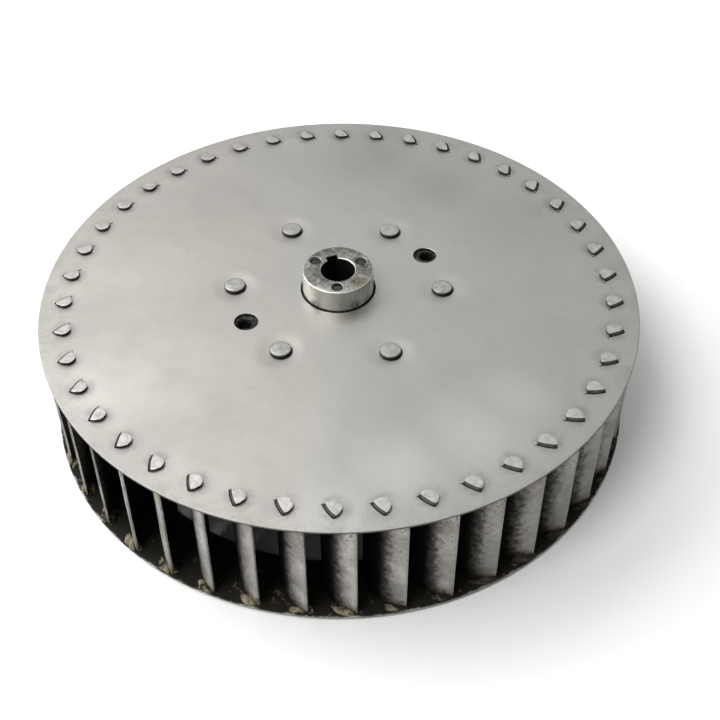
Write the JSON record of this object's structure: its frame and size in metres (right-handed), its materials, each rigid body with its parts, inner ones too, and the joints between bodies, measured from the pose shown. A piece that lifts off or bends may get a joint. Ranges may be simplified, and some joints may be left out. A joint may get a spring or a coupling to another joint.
{
  "type": "centrifugal fan impeller",
  "caption": "Riveted centrifugal fan wheel: back plate and front ring joined by curved tabbed sheet blades, on a flanged hub with a keyed bore.",
  "frame": {"origin": "on the shaft axis, at the level of the surface that the wheel lies on", "axes": "+Z along the shaft axis, out of the hub's raised end; -Y is the side nearest the picture's camera"},
  "size_m": [0.42, 0.4198, 0.1093],
  "materials": {
    "plate_sheet": "brushed stainless sheet, lightly smudged",
    "ring_sheet": "brushed stainless sheet with dust and brown deposit",
    "blade_sheet": "dull stainless sheet, mottled with grime",
    "hub_steel": "turned steel",
    "rivet_steel": "flattened rivet heads"
  },
  "bodies": {
    "root": {"back_plate": "plate_sheet", "front_ring": "ring_sheet", "hub": "hub_steel", "rivet_1": "rivet_steel", "rivet_2": "rivet_steel", "rivet_3": "rivet_steel", "rivet_4": "rivet_steel", "rivet_5": "rivet_steel", "rivet_6": "rivet_steel", "blade_01": "blade_sheet", "blade_02": "blade_sheet", "blade_03": "blade_sheet", "blade_04": "blade_sheet", "blade_05": "blade_sheet", "blade_06": "blade_sheet", "blade_07": "blade_sheet", "blade_08": "blade_sheet", "blade_09": "blade_sheet", "blade_10": "blade_sheet", "blade_11": "blade_sheet", "blade_12": "blade_sheet", "blade_13": "blade_sheet", "blade_14": "blade_sheet", "blade_15": "blade_sheet", "blade_16": "blade_sheet", "blade_17": "blade_sheet", "blade_18": "blade_sheet", "blade_19": "blade_sheet", "blade_20": "blade_sheet", "blade_21": "blade_sheet", "blade_22": "blade_sheet", "blade_23": "blade_sheet", "blade_24": "blade_sheet", "blade_25": "blade_sheet", "blade_26": "blade_sheet", "blade_27": "blade_sheet", "blade_28": "blade_sheet", "blade_29": "blade_sheet", "blade_30": "blade_sheet", "blade_31": "blade_sheet", "blade_32": "blade_sheet", "blade_33": "blade_sheet", "blade_34": "blade_sheet", "blade_35": "blade_sheet", "blade_36": "blade_sheet", "blade_37": "blade_sheet", "blade_38": "blade_sheet", "blade_39": "blade_sheet", "blade_40": "blade_sheet", "blade_41": "blade_sheet", "blade_42": "blade_sheet"}
  },
  "joints": []
}
